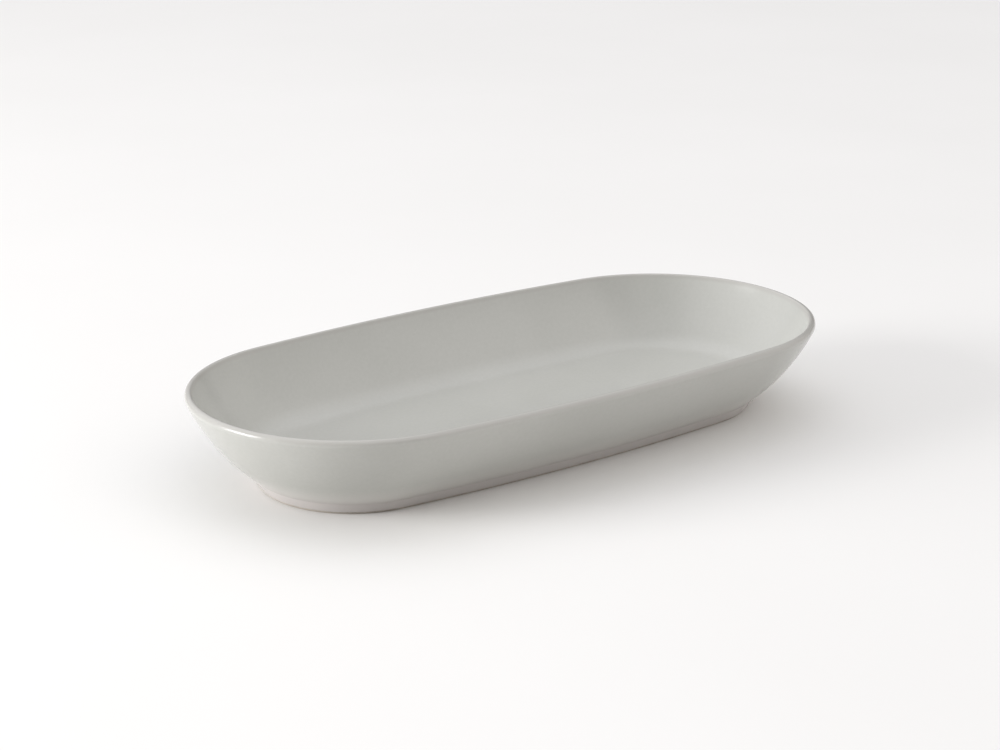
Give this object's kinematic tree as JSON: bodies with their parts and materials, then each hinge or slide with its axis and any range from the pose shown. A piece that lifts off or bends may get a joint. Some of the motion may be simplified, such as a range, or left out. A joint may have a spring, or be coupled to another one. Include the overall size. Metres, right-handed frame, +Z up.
{
  "type": "relish tray",
  "caption": "Shallow oval relish tray of glazed ceramic with a flared wall, a rolled lip, a flat floor and a low bare foot ring, for serving pickles, olives and other small bites.",
  "frame": {"origin": "on the table, under the middle of the dish", "axes": "+X along the dish, +Y across it, +Z up out of the well"},
  "size_m": [0.229, 0.11, 0.031],
  "materials": {
    "clay": "bare fired clay, matt and fine grained",
    "glaze": "glossy pale warm grey white glaze"
  },
  "bodies": {
    "root": {"ceramic_body": "clay", "glaze_coat": "glaze", "base_glaze": "glaze"}
  },
  "joints": []
}
